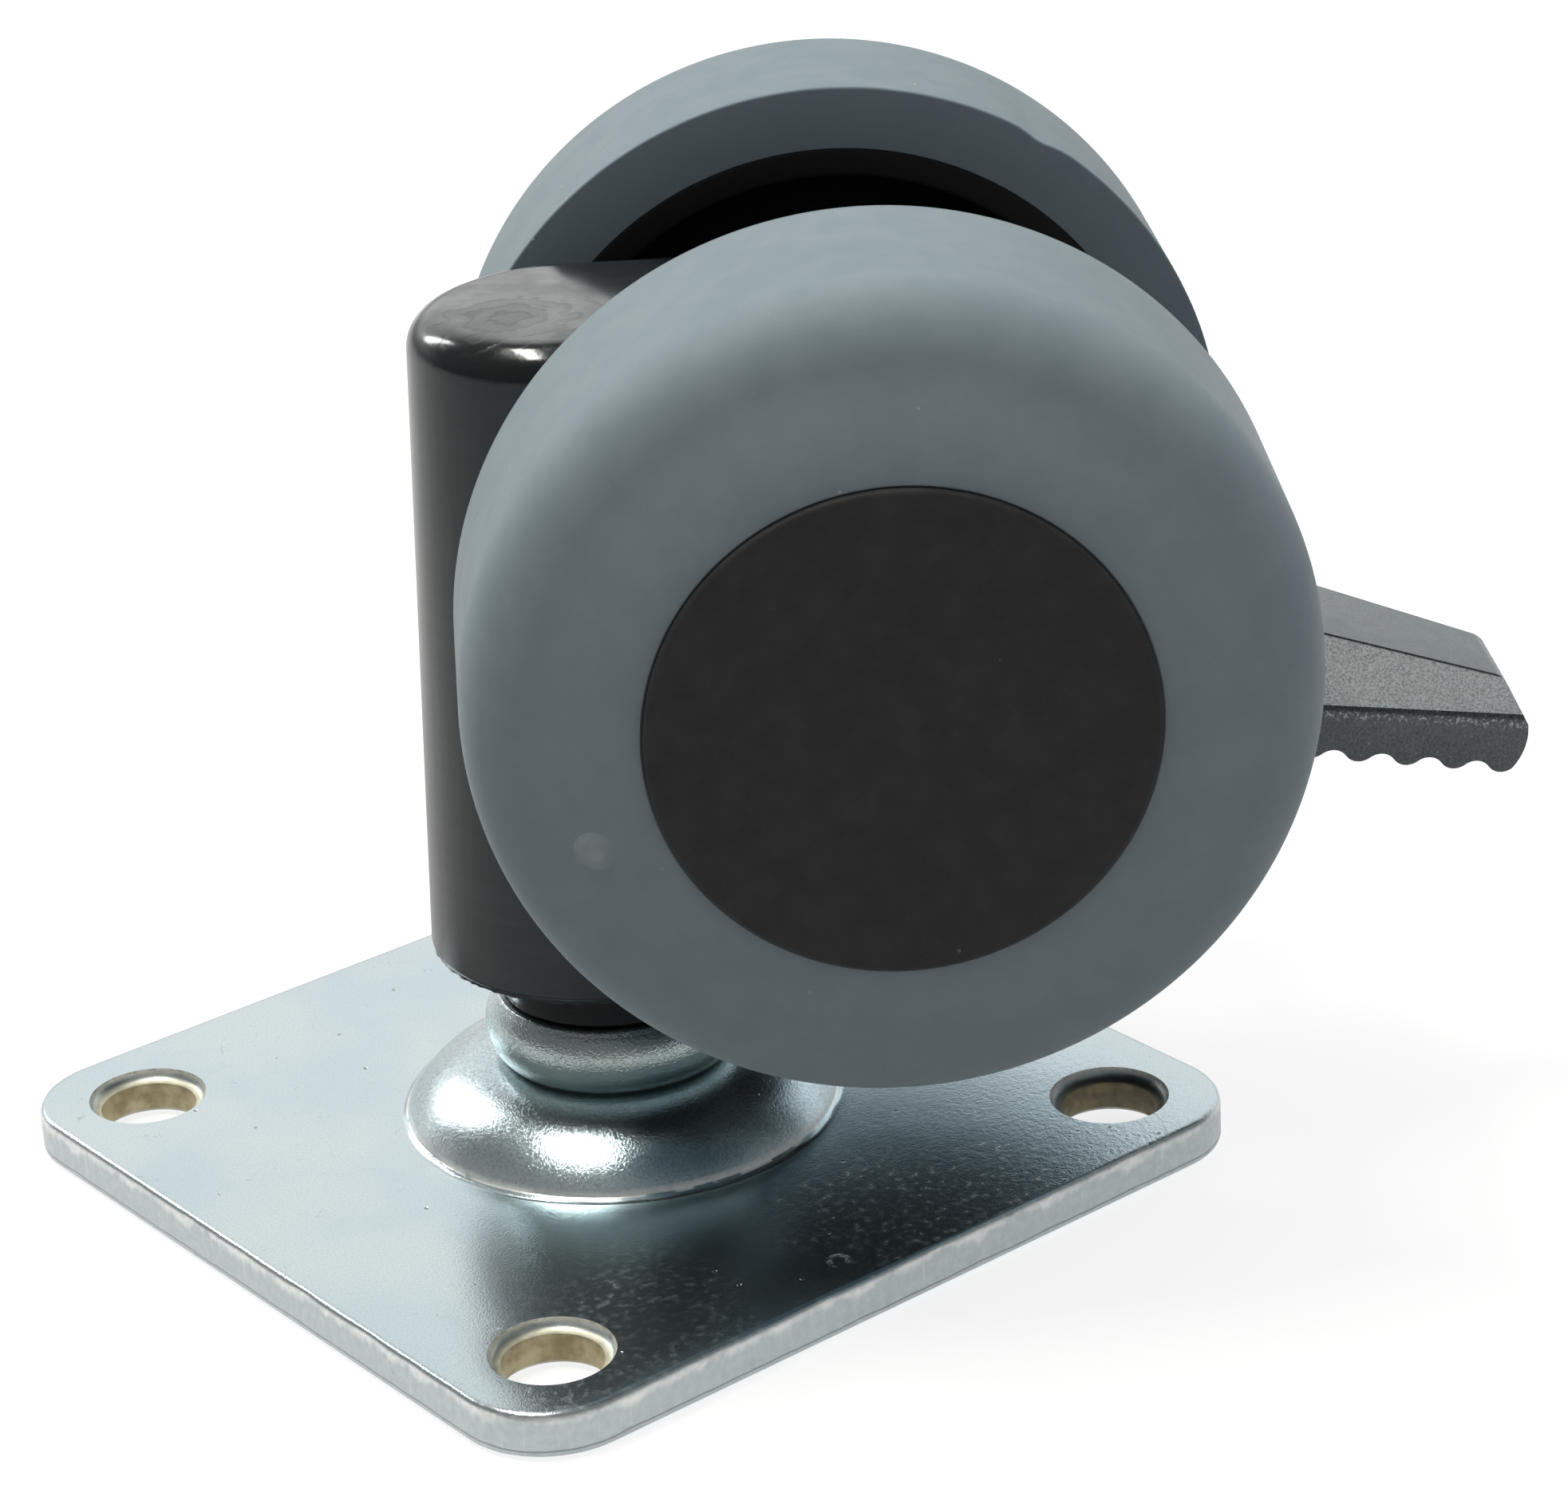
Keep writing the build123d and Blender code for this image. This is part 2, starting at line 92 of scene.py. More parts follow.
def rounded(corners, steps=4):
    """Profile points where each corner (along, radius, round) becomes a small curve."""
    points = []
    last = len(corners) - 1
    for i, (x, y, size) in enumerate(corners):
        here = Vector((x, y))
        if size == 0 or i in (0, last):
            points.append((x, y))
            continue
        before = Vector(corners[i - 1][:2]) - here
        after = Vector(corners[i + 1][:2]) - here
        reach = min(size, before.length / 2, after.length / 2)
        p, q = here + before.normalized() * reach, here + after.normalized() * reach
        for j in range(steps + 1):
            t = j / steps
            points.append(tuple(p * (1 - t) ** 2 + here * (2 * t * (1 - t)) + q * t ** 2))
    return points


def bezier(start, lead, drop, end, steps=24):
    """Points of a cubic curve from start to end with its two handles."""
    a, b, c, d = (Vector(p) for p in (start, lead, drop, end))
    curve = []
    for i in range(steps + 1):
        t = i / steps
        s = 1 - t
        curve.append(tuple(a * s ** 3 + b * (3 * s * s * t) + c * (3 * s * t * t) + d * t ** 3))
    return curve


# %% Lathe
def lathe(bm, profile, centre, direction, start, steps=192, closed=False, wobble=None):
    """Spin a profile round an axis into bm and return its rings of vertices."""
    across = start.cross(direction).normalized()
    rings = []
    for x, r in profile:
        if r < 1e-6:
            rings.append([bm.verts.new(centre + direction * x)])
            continue
        ring = []
        for k in range(steps):
            turn = 2 * math.pi * k / steps
            x1, r1 = wobble(x, r, turn) if wobble else (x, r)
            spoke = start * math.cos(turn) + across * math.sin(turn)
            ring.append(bm.verts.new(centre + direction * x1 + spoke * r1))
        rings.append(ring)
    pairs = list(zip(rings, rings[1:]))
    if closed:
        pairs.append((rings[-1], rings[0]))
    for a, b in pairs:
        for k in range(steps):
            n = (k + 1) % steps
            if len(a) == 1:
                bm.faces.new((a[0], b[n], b[k]))
            elif len(b) == 1:
                bm.faces.new((a[k], a[n], b[0]))
            else:
                bm.faces.new((a[k], a[n], b[n], b[k]))
    return rings


def piece(name, bm, body, nodes, sharp=40):
    """Turn a mesh in millimetres into a piece that rides on a body in place of CAD nodes."""
    bmesh.ops.recalc_face_normals(bm, faces=bm.faces)
    mesh = bpy.data.meshes.new(name)
    bm.to_mesh(mesh)
    bm.free()
    mesh.transform(Matrix.Scale(MM, 4))
    mesh.shade_smooth()
    mesh.set_sharp_from_angle(angle=math.radians(sharp))
    made = bpy.data.objects.new(name, mesh)
    bpy.context.scene.collection.objects.link(made)
    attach(made, body)
    if nodes:
        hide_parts(*nodes)
    print(name, "has", len(mesh.polygons), "faces")
    return made

# %% [markdown]
# ## The mounting plate
# The plate is punched from 3 mm sheet, and its middle is pressed up into a dome that carries the
# stem. Its sides show how it was cut: a torn band near the upper edge and a smoother band under it.
# The four holes have a rolled upper rim. A subdivision surface would round everything alike, so the
# plate is built from rings instead: the outline at several insets for its edge, a spun dome, four
# spun holes, and two flat faces filled between those rings.

# %% Plate outline and edge
plate_half, plate_corner, plate_top = 30.0, 6.2, 3.0
hole_at, hole_radius, hole_roll, hole_break = 23.0, 3.2, 0.75, 0.4


def plate_ring(bm, inset, level, torn=0.0, per_side=70, per_corner=18):
    """One closed ring of the plate's outline, with the tear of the shears pushed into it."""
    flat = plate_half - plate_corner
    radius = plate_corner - inset
    ring = []
    for quarter in range(4):
        turn = Matrix.Rotation(math.pi / 2 * quarter, 3, "Z")
        spots = []
        for i in range(per_corner):
            a = math.pi / 2 * i / per_corner
            spots.append(Vector((flat + radius * math.cos(a), flat + radius * math.sin(a), 0)))
        for i in range(per_side):
            spots.append(Vector((flat - 2 * flat * i / per_side, flat + radius, 0)))
        for spot in spots:
            spot.rotate(turn)
            tear = noise.fractal(spot * 0.45 + Vector((0, 0, level * 0.5)), 1.0, 2.0, 4)
            depth = torn * max(0.0, tear)
            ring.append(bm.verts.new(spot - spot.normalized() * depth + up * level))
    return ring


def bridge(bm, a, b):
    """Quads between two rings of the same length."""
    for k in range(len(a)):
        n = (k + 1) % len(a)
        bm.faces.new((a[k], a[n], b[n], b[k]))


def ring_edges(bm, ring):
    """The edges along a ring."""
    return [bm.edges.get((ring[k], ring[(k + 1) % len(ring)])) for k in range(len(ring))]


# %% Profiles of the edge and the dome
plate_edge = [
    (0.45, 0.0, 0.0), (0.22, 0.03, 0.0), (0.07, 0.12, 0.0), (0.0, 0.3, 0.0), (0.0, 0.9, 0.0),
    (0.0, 1.5, 0.0), (0.0, 1.9, 0.03), (0.0, 2.15, 0.07), (0.0, 2.4, 0.1), (0.02, 2.55, 0.1),
    (0.07, 2.74, 0.08), (0.16, 2.87, 0.04), (0.32, 2.96, 0.0), (0.55, 3.0, 0.0),
]
dome_foot, dome_flat, dome_top, dome_step = 14.6, 8.5, 7.0, 0.3
dome_bulge, dome_rim_inset, dome_shelf = 0.7, 0.12, 7.8
dome_mouth, dome_ceiling, ceiling_radius, rivet_hole = 12.1, 4.8, 7.4, 3.52
step_from, step_to, step_fade = math.radians(-95), math.radians(-8), 0.04


def dome_profile():
    """Upper skin of the dome from the plate's face in to the rivet hole."""
    edge = (dome_foot - dome_rim_inset, plate_top + dome_step)
    flank = [(z, r) for r, z in arc(edge, (dome_flat, dome_top), -dome_bulge, 24)]
    foot = [
        (plate_top, dome_foot + 0.9), (plate_top, dome_foot + 0.35), (plate_top + 0.02, dome_foot + 0.12),
        (plate_top + 0.08, dome_foot + 0.02), (plate_top + dome_step - 0.05, dome_foot - 0.04),
    ]
    (rim_level, rim_reach), (_, next_reach) = flank[:2]
    bead = [(rim_level + 0.1 * t, rim_reach + (next_reach - rim_reach) * t) for t in (0.3, 0.6, 0.8)]
    return foot + flank[:1] + bead + flank[1:] + [(dome_top, dome_shelf), (dome_top, rivet_hole)]


def dome_wobble(z, r, turn):
    """The press left the dome's step uneven: full on one side, kinked at its ends, low elsewhere."""
    if r > dome_foot + 0.8 or r < dome_flat:
        return z, r
    turn = math.remainder(turn, 2 * math.pi)
    waver = noise.noise(Vector((math.cos(turn) * 6, math.sin(turn) * 6, 1.7)))
    inside = min(turn - step_from, step_to - turn)
    wide = min(1.0, max(0.0, inside / step_fade))
    if z > plate_top + 0.1:
        near_rim = math.exp(-abs(dome_foot - r) / 0.9)
        bead = 0.08 * math.exp(-(((r - dome_foot + 0.18) / 0.07) ** 2))
        lift = 0.05 * waver + bead * wide - 0.15 * (1 - wide)
        return z + lift * near_rim, r + (0.05 * waver - 0.12 * wide) * near_rim
    return z, r + 0.05 * waver + 0.24 * wide


# %% Join the plate's rings
plate = bmesh.new()
edge_rings = [plate_ring(plate, inset, level, torn) for inset, level, torn in plate_edge]
for lower, upper in zip(edge_rings, edge_rings[1:]):
    bridge(plate, lower, upper)
origin, east = Vector((0, 0, 0)), Vector((1, 0, 0))
upper_skin = lathe(plate, dome_profile(), origin, up, east, 360, wobble=dome_wobble)
ceiling = [(z, r) for r, z in arc((dome_mouth, 0.0), (ceiling_radius, dome_ceiling), -dome_bulge, 12)]
lower_skin = lathe(plate, ceiling + [(dome_ceiling, rivet_hole)], origin, up, east, 360)
bridge(plate, upper_skin[-1], lower_skin[-1])
upper_loops, lower_loops = [edge_rings[-1], upper_skin[0]], [edge_rings[0], lower_skin[0]]
roll_bulge, hole_waist = 0.22, 1.4
roll_start, roll_end = (hole_radius + hole_roll, plate_top), (hole_radius, plate_top - hole_roll)
hole_wall = [(z, r) for r, z in arc(roll_start, roll_end, roll_bulge, 8)]
hole_wall += [(hole_waist, hole_radius), (hole_break, hole_radius), (0.0, hole_radius + hole_break)]
for x in (-hole_at, hole_at):
    for y in (-hole_at, hole_at):
        rings = lathe(plate, hole_wall, Vector((x, y, 0)), up, east, 72)
        upper_loops.append(rings[0])
        lower_loops.append(rings[-1])
for loops in (upper_loops, lower_loops):
    edges = [edge for loop in loops for edge in ring_edges(plate, loop)]
    bmesh.ops.triangle_fill(plate, use_beauty=True, use_dissolve=False, edges=edges)
top_plate = piece("plate", plate, "mount", ["top_plate"], sharp=50)

# %% [markdown]
# ## Stem
# The stem is one turning: a riveted head under the dome, a barrel-shaped collar on it and a pin up
# into the post. A cylinder with loop cuts could be scaled into it, but as a turned part it is drawn
# best the way it is made, as one profile that is spun round the swivel axis.

# %% Stem
collar_top, stem_top, pin_radius, rivet_radius = 11.75, 51.75, 4.0, 3.5
rivet_head = rounded([
    (3.3, 0.0, 0), (3.42, 2.4, 0.8), (3.9, 4.4, 0.8), (dome_ceiling, 5.5, 0.3),
    (dome_ceiling, rivet_radius, 0), (dome_top, rivet_radius, 0), (dome_top, 7.5, 0.15),
])
collar = [(x, r) for r, x in arc((7.5, 7.05), (7.8, 11.55), -1.02, 16)]
pin = rounded([
    (11.7, 7.72, 0), (collar_top, 7.6, 0.1), (collar_top, pin_radius, 0.2),
    (stem_top - 0.8, pin_radius, 0.2), (stem_top, 3.2, 0.2), (stem_top, 0.0, 0),
])
stem = bmesh.new()
lathe(stem, rivet_head + collar + pin, origin, up, east, 160)
swivel_stem = piece("stem", stem, "mount", ["swivel_stem"])

# %% [markdown]
# ## The wheels
# Each wheel is a dark core with a closed hub disc outside and an open cup inside. A soft grey tread
# is moulded over it, with a straight running band and a full, rounded shoulder that ends at the hub
# disc. The shoulder is the form that the eye reads first, so its curve gets many steps.

# %% Wheel profiles
wheel_in, tread_end, disc_face = 13.35, 32.6, 33.05
disc_radius, rim_radius, cup_radius = 14.9, 21.45, 19.65
tread_radius, land_end, land_radius = 25.55, 27.55, 25.228
lip_edge, rim_end, core_wall, bond, lip_round = 30.9, 25.9, 1.8, 0.02, 0.12
hub_radius, bore_radius, bore_end = 6.8, 3.05, 25.75
flank_mid, shoulder_round, lip_rise = Vector((30.88, 21.74)), 3.8, 2.2


def tread_profile():
    """Closed profile of a tread: (along the axle, radius)."""
    lip = Vector((tread_end, disc_radius + bond + lip_round))
    land = (Vector((land_end, land_radius)) - Vector((wheel_in, tread_radius))).normalized()
    flank = (lip - flank_mid).normalized()
    reach = (land_radius - flank_mid.y) / flank.y
    corner = flank_mid + flank * reach
    start, end = corner - land * shoulder_round, corner + flank * shoulder_round
    band = rounded([
        (wheel_in + 3, rim_radius, 0), (wheel_in, rim_radius + bond, 0.12),
        (wheel_in, tread_radius, 0.16), (*start, 0),
    ])
    turn = bezier(start, start.lerp(corner, 2 / 3), end.lerp(corner, 2 / 3), end, 32)
    face = bezier(end, end + flank * lip_rise, lip + Vector((0, lip_rise)), lip, 20)
    inside = [
        (tread_end - lip_round, disc_radius + bond), (lip_edge + bond, disc_radius + bond),
        (rim_end + bond, rim_radius + bond),
    ]
    return band[1:] + turn[1:] + face[1:] + inside


def core_profile():
    """Profile of a core from the axis at its bore's end out and back to the axis."""
    return rounded([
        (disc_face, 0.0, 0), (disc_face, disc_radius, 0.35), (lip_edge, disc_radius, 0),
        (rim_end, rim_radius, 0), (wheel_in, rim_radius, 0.1), (wheel_in, cup_radius, 0.3),
        (rim_end - core_wall, cup_radius, 1.5), (lip_edge - core_wall, disc_radius - core_wall, 2.0),
        (lip_edge - core_wall, hub_radius, 0.8), (wheel_in, hub_radius, 0.4),
        (wheel_in, bore_radius, 0.3), (bore_end, bore_radius, 0), (bore_end, 0.0, 0),
    ])


# %% Spin the wheels
nick_at = Vector((33.41, -7.36, 62.71))
nick_depth, nick_width, edge_waver = 0.28, 0.045, 0.03


def nicked_edge(x, r, turn):
    """The far tyre's inner edge, with the small nick that its flash left."""
    spoke = nick_at - axle_at
    nick_turn = math.atan2(spoke.dot(up.cross(-axle_out)), spoke.dot(up))
    if x > wheel_in + 0.3 or r < tread_radius - 0.6:
        return x, r
    away = math.remainder(turn - nick_turn, 2 * math.pi)
    waver = noise.noise(Vector((math.cos(turn) * 9, math.sin(turn) * 9, 0.4)))
    return x, r - nick_depth * math.exp(-((away / nick_width) ** 2)) - edge_waver * max(0.0, waver)


wheels = {}
for side, outward in {"near": axle_out, "far": -axle_out}.items():
    body = "wheel_" + side
    tread = bmesh.new()
    wobble = nicked_edge if side == "far" else None
    lathe(tread, tread_profile(), axle_at, outward, up, 240, closed=True, wobble=wobble)
    wheels["tread_" + side] = piece("tyre_" + side, tread, body, ["tread_" + side])
    core = bmesh.new()
    lathe(core, core_profile(), axle_at, outward, up, 192)
    wheels["core_" + side] = piece("core_" + side, core, body, ["wheel_core_" + side])

# %% [markdown]
# ## Moulding marks
# Rubber enters its mould through a small gate. Where the sprue is torn off, a low round scar with a
# dimple stays on the tyre. The hub disc has a smaller pip near its rim. They are tiny lathe pieces,
# sunk a little into the surface that carries them, so that they catch light as real relief.

# %% Gate scar and pip
scar_root, scar_skirt = 0.3, 0.1
scar_shape = [(0.3, 0.8), (0.9, 0.56), (1.0, 0.44), (0.75, 0.28), (0.4, 0.14), (0.35, 0.0)]


def scar(name, place, normal, radius, height, body):
    """A low round bump with a dimple, on a surface at place."""
    outward = Vector(normal).normalized()
    start = outward.orthogonal().normalized()
    profile = [(-scar_root, 0.0), (-scar_root, radius), (-scar_skirt, radius * 0.98)]
    profile += [(height * rise, radius * spread) for rise, spread in scar_shape]
    bm = bmesh.new()
    lathe(bm, profile, Vector(place), outward, start, 40)
    return piece(name, bm, body, [])


gate_at, gate_faces = (-18.90, -25.54, 35.61), (-0.80, -0.591, -0.102)
pip_at = (-4.31, -37.48, 27.75)
gate_scar = scar("gate_scar", gate_at, gate_faces, 1.3, 0.15, "wheel_near")
hub_pip = scar("hub_pip", pip_at, axle_out, 0.45, 0.05, "wheel_near")

# %% [markdown]
# ## Moulded pieces from their solids
# The housing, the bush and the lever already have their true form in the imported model. Their edges
# are mathematically sharp there, so each is copied, its flat triangles are joined again, and its
# sharp edges get a narrow real bevel that catches light the way a moulded edge does.

# %% Soften the moulded edges
weld_gap, flat_angle = 0.002, math.radians(0.6)


def softened(name, node, body, width, angle=28, segments=2):
    """Copy of a CAD node with its sharp edges bevelled by width millimetres."""
    bm = bmesh.new()
    bm.from_mesh(frame["nodes"][node].data)
    bmesh.ops.scale(bm, vec=(1 / MM, 1 / MM, 1 / MM), verts=bm.verts)
    bmesh.ops.remove_doubles(bm, verts=bm.verts, dist=weld_gap)
    bmesh.ops.dissolve_limit(
        bm, angle_limit=flat_angle, use_dissolve_boundaries=False, verts=bm.verts, edges=bm.edges
    )
    sharp = [e for e in bm.edges if e.is_manifold and e.calc_face_angle() > math.radians(angle)]
    bmesh.ops.bevel(
        bm, geom=sharp, offset=width, offset_type="OFFSET", segments=segments, profile=0.5,
        affect="EDGES", clamp_overlap=True,
    )
    return piece(name, bm, body, [node], sharp=34)


housing = softened("housing_shell", "housing", "head", 0.25)
bush = softened("bush", "swivel_bush", "head", 0.2)
lever = softened("pedal", "brake_lever", "lever", 0.16)

# %% [markdown]
# ## Flash
# Where the two halves of a mould meet, a little plastic creeps out and stays as a thin, torn skirt.
# The post has some round its foot. It could be painted on, but it breaks the outline against the
# bright collar, so it is a thin ring whose lower edge comes and goes with a seeded noise.

# %% Flash under the post
post_foot, post_radius, flash_depth = 15.75, 11.7, 0.25


def ragged(z, r, turn):
    """Thin flash that the mould left at the post's foot: it comes and goes round the rim."""
    waver = noise.fractal(Vector((math.cos(turn) * 14, math.sin(turn) * 14, 0.0)), 1.0, 2.0, 3)
    hang = flash_depth * max(0.0, waver) if z < post_foot + 0.1 else 0.0
    return z - hang, r + 0.05 * waver


flash = bmesh.new()
flash_ring = [
    (post_foot + 0.5, post_radius - 0.06), (post_foot, post_radius - 0.10),
    (post_foot, post_radius - 0.3), (post_foot + 0.5, post_radius - 0.3),
]
lathe(flash, flash_ring, origin, up, east, 360, closed=True, wobble=ragged)
foot_flash = piece("foot_flash", flash, "head", [])

# %% [markdown]
# ## Writing shaders as sums
# A finish is a small calculation over the surface: a grain here, a stain there. Shader nodes can be
# wired by hand, but the sums are hard to read that way. The class below wraps one socket, so that
# plain arithmetic on it adds the Math nodes, and one method adds any other node.

# %% A socket that can be calculated with
class Socket:
    """An output in a shader's node tree. Arithmetic with it adds Math nodes."""

    def __init__(self, tree, output=None):
        self.tree = tree
        self.output = output

    def node(self, kind, settings=None, inputs=None, output=0):
        """Add a node: its settings first, then values or links for its inputs."""
        made = self.tree.nodes.new(kind)
        for name, value in (settings or {}).items():
            setattr(made, name, value)
        for name, value in (inputs or {}).items():
            if isinstance(value, Socket):
                self.tree.links.new(value.output, made.inputs[name])
            else:
                made.inputs[name].default_value = value
        return Socket(self.tree, made.outputs[output] if made.outputs else None)

    def math(self, operation, *values):
        return self.node("ShaderNodeMath", {"operation": operation}, dict(enumerate(values)))

    def __add__(self, other):
        return self.math("ADD", self, other)

    def __sub__(self, other):
        return self.math("SUBTRACT", self, other)

    def __rsub__(self, other):
        return self.math("SUBTRACT", other, self)

    def __mul__(self, other):
        return self.math("MULTIPLY", self, other)

    def __abs__(self):
        return self.math("ABSOLUTE", self)

    __radd__ = __add__
    __rmul__ = __mul__

    def step(self, low, high):
        """0 below low, 1 above high and a smooth rise between."""
        settings = {"interpolation_type": "SMOOTHSTEP"}
        return self.node("ShaderNodeMapRange", settings, {"Value": self, "From Min": low, "From Max": high})

    def mix(self, first, second):
        """Colour that goes from first to second as this value goes from 0 to 1."""
        return self.node("ShaderNodeMix", {"data_type": "RGBA"}, {0: self, 6: first, 7: second}, 2)

    def stretch(self, x, y, z):
        """This place with each direction scaled."""
        return self.node("ShaderNodeVectorMath", {"operation": "MULTIPLY"}, {0: self, 1: (x, y, z)})

    def far_from(self, x, y, z):
        """Distance of this place from a point."""
        return self.node("ShaderNodeVectorMath", {"operation": "DISTANCE"}, {0: self, 1: (x, y, z)}, "Value")

    def along(self, direction):
        """How far this place lies along a direction."""
        inputs = {0: self, 1: tuple(direction)}
        return self.node("ShaderNodeVectorMath", {"operation": "DOT_PRODUCT"}, inputs, "Value")

    def grain(self, scale, detail=4.0, rough=0.55, distortion=0.0):
        """Cloudy noise from 0 to 1, with scale waves in a millimetre."""
        inputs = {"Vector": self, "Scale": scale, "Detail": detail, "Roughness": rough}
        return self.node("ShaderNodeTexNoise", {}, inputs | {"Distortion": distortion})

    def spots(self, scale, size, share):
        """Round spots, at most size across in cell widths, in a share of the cells."""
        inputs = {"Vector": self, "Scale": scale}
        near = self.node("ShaderNodeTexVoronoi", {}, inputs)
        cell = self.node("ShaderNodeTexVoronoi", {}, inputs, "Color")
        luck = self.node("ShaderNodeSeparateColor", {}, {0: cell})
        return (luck - (1 - share)).step(0.0, share) * (1 - near.step(size * 0.5, size))


def grey(value, tint=0.0):
    """A near-grey colour; a positive tint leans to blue and a negative one to yellow."""
    return (value * (1 - tint), value, value * (1 + tint), 1.0)


def finish(slot, recipe, *pieces):
    """Make a material from a recipe over the surface in millimetres and give it to pieces."""
    material = bpy.data.materials.new(slot)
    material.use_nodes = True
    tree = material.node_tree
    tree.nodes.clear()
    start = Socket(tree)
    place = start.node("ShaderNodeTexCoord", output="Object")
    values = recipe(place.stretch(1 / MM, 1 / MM, 1 / MM))
    height = values.pop("Height")
    distance = values.pop("Depth") * MM
    values["Normal"] = start.node("ShaderNodeBump", {}, {"Distance": distance, "Height": height})
    shader = start.node("ShaderNodeBsdfPrincipled", {}, values)
    start.node("ShaderNodeOutputMaterial", {}, {"Surface": shader})
    for made in pieces:
        made.data.materials.clear()
        made.data.materials.append(material)
    print(slot, "uses", len(tree.nodes), "nodes")
    return material


# %% [markdown]
# ## Zinc on steel
# Zinc plate with a blue passivation is a soft mirror: it is bright where it faces the light and
# nearly black where it faces a dark wheel. What makes it look real is the skin of the sheet: a fine
# dimpled grain, small pits and pale specks, and the marks that the shears left on the cut sides.
# All of it is noise over the piece's own place, so it stays put from every angle and needs no unwrap.

# %% Painted highlight on the dome's step
step_edge = 14.40


def painted_step_highlight(place, level):
    """Broken painted highlight: a white line along the dome's step that stands in for the light it catches.
    """
    radius = place.stretch(1, 1, 0).far_from(0, 0, 0)
    broken = place.grain(0.45, 2.0, 0.6).step(0.42, 0.50)
    return (1 - abs(radius - step_edge).step(0.03, 0.13)) * level.step(3.08, 3.22) * broken


# %% Cut sides of the plate
def cut_side(place, level):
    """Colour of the cut sides, and where they are torn."""
    waver = place.stretch(0.30, 0.30, 0).grain(1.0, 3.0, 0.6)
    rags = place.grain(1.5, 4.0, 0.65)
    torn = (level - 2.75 + (waver - 0.36) * 3.0 + (rags - 0.5) * 0.8).step(-0.25, 0.40)
    drag = place.stretch(2.6, 2.6, 0.10).grain(1.0, 3.0, 0.6)
    edge_line = (1 - abs(level - 2.93).step(0.01, 0.06)) * rags.step(0.50, 0.58)
    foot_line = 1 - abs(level - 0.34 - waver * 0.3).step(0.02, 0.09)
    cut = rags.step(0.3, 0.7).mix((0.47, 0.53, 0.54, 1), (0.54, 0.60, 0.60, 1))
    cut = (drag.step(0.60, 0.70) * 0.4).mix(cut, (0.80, 0.84, 0.83, 1))
    cut = torn.mix(cut, rags.step(0.35, 0.7).mix((0.92, 0.94, 0.92, 1), (0.72, 0.76, 0.75, 1)))
    cut = (edge_line * 0.5 + foot_line * 0.6).mix(cut, (0.10, 0.12, 0.12, 1))
    return cut, torn


# %% Stained holes, and painted shade in one of them
def hole_stain(place, level):
    """Colour in the bolt holes, where the plating is thin, with painted shade on one hole's wall and rim,
    and masks of the holes and of that painted rim shade.
    """
    aside = place.node("ShaderNodeVectorMath", {"operation": "ABSOLUTE"}, {0: place}).stretch(1, 1, 0)
    in_hole = 1 - aside.far_from(hole_at, hole_at, 0).step(hole_radius + 0.20, hole_radius + 0.80)
    stain = place.grain(0.5, 4.0, 0.6)
    tan = stain.step(0.35, 0.70).mix((0.64, 0.58, 0.40, 1), (0.38, 0.32, 0.19, 1))
    # painted shade: one hole's wall and rim are darkened as if in shadow
    shaded_hole_mask = 1 - place.far_from(hole_at, -hole_at, 1.5).step(4.5, 6.0)
    painted_hole_shade = stain.step(0.40, 0.62).mix((0.13, 0.11, 0.08, 1), (0.30, 0.26, 0.16, 1))
    tan = (shaded_hole_mask * 0.8).mix(tan, painted_hole_shade)
    rim = level.step(2.0, 2.4) * (1 - level.step(2.86, 2.97))
    return tan, in_hole, in_hole * shaded_hole_mask * rim


# %% Zinc plate
tyre_reflection_at, gouge_at, gouge_radius = (4.0, -22.0, plate_top), (-3.75, -27.0, plate_top), 0.60


